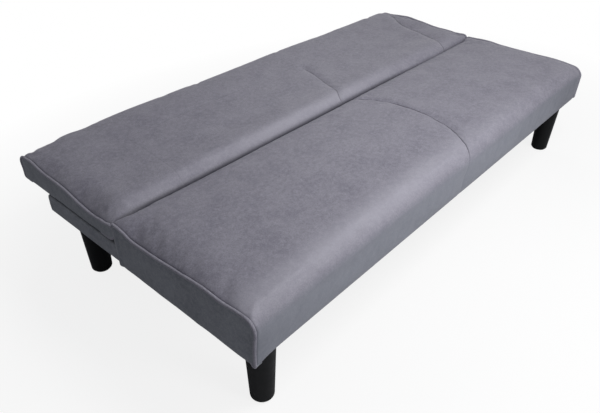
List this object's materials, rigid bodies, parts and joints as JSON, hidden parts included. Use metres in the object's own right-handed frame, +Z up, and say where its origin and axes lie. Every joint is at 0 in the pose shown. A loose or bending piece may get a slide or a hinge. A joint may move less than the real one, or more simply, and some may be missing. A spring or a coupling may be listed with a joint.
{
  "type": "click clack sofa bed",
  "caption": "Low armless sofa bed folded flat: upholstered seat box on tapered legs, with a padded back that hinges up from the crevice on ratchet hinges.",
  "frame": {"origin": "on the floor, under the middle of the sofa bed's bounding box when it is folded flat", "axes": "+X along the sofa towards its right end as seen from the front; -Y is the front, +Y the back's outer edge; +Z up"},
  "size_m": [1.8, 0.955, 0.3619],
  "materials": {
    "fabric": "matte",
    "piping": "matte",
    "foam": "matte",
    "wadding": "matte",
    "felt": "matte",
    "lining": "matte",
    "timber": "matte",
    "spring_steel": "satin",
    "zinc_steel": "satin",
    "leg_plastic": "satin",
    "glide_plastic": "matte"
  },
  "bodies": {
    "base": {"side_board_left": "timber", "side_board_right": "timber", "front_rail": "timber", "seat_rear_rail": "timber", "base_rear_rail": "timber", "base_stretchers": "timber", "corner_blocks": "timber", "seat_springs": "spring_steel", "seat_spring_clips": "spring_steel", "seat_felt": "felt", "seat_foam": "foam", "seat_wadding": "wadding", "seat_cover": "fabric", "seat_end_panel_left": "fabric", "seat_end_panel_right": "fabric", "seat_piping_left": "piping", "seat_piping_right": "piping", "rear_skirt": "fabric", "side_skirt_left": "fabric", "side_skirt_right": "fabric", "dust_cover": "lining", "leg_front_left": "leg_plastic", "leg_front_right": "leg_plastic", "leg_rear_left": "leg_plastic", "leg_rear_right": "leg_plastic", "leg_glides": "glide_plastic", "leg_plates": "zinc_steel", "leg_studs": "zinc_steel", "leg_nuts": "zinc_steel", "hinge_plate_left": "zinc_steel", "hinge_plate_right": "zinc_steel", "pivot_pins": "zinc_steel", "hinge_plate_screws": "zinc_steel"},
    "back": {"back_front_rail": "timber", "back_rear_rail": "timber", "back_end_rail_left": "timber", "back_end_rail_right": "timber", "back_stretchers": "timber", "back_springs": "spring_steel", "back_spring_clips": "spring_steel", "back_felt": "felt", "back_foam": "foam", "back_edge_foam": "foam", "back_cover": "fabric", "back_end_panel_left": "fabric", "back_end_panel_right": "fabric", "back_piping_left": "piping", "back_piping_right": "piping", "back_lining": "lining", "hinge_arm_left": "zinc_steel", "hinge_arm_right": "zinc_steel", "hinge_arm_screws": "zinc_steel", "pawl_rivets": "zinc_steel", "pawl_spring_left": "spring_steel", "pawl_spring_right": "spring_steel"},
    "pawl_left": {"pawl_left": "zinc_steel"},
    "pawl_right": {"pawl_right": "zinc_steel"}
  },
  "joints": [
    {"name": "back_hinge", "type": "hinge", "parent": "base", "child": "back", "pos_m": [0, 0.047, 0.314], "axis": [1, 0, 0], "range_deg": [0, 85]},
    {"name": "pawl_left_pivot", "type": "hinge", "parent": "back", "child": "pawl_left", "pos_m": [-0.865, 0.08565, 0.31772], "axis": [1, 0, 0], "range_deg": [-12, 0]},
    {"name": "pawl_right_pivot", "type": "hinge", "parent": "back", "child": "pawl_right", "pos_m": [0.865, 0.08565, 0.31772], "axis": [1, 0, 0], "range_deg": [-12, 0]}
  ]
}
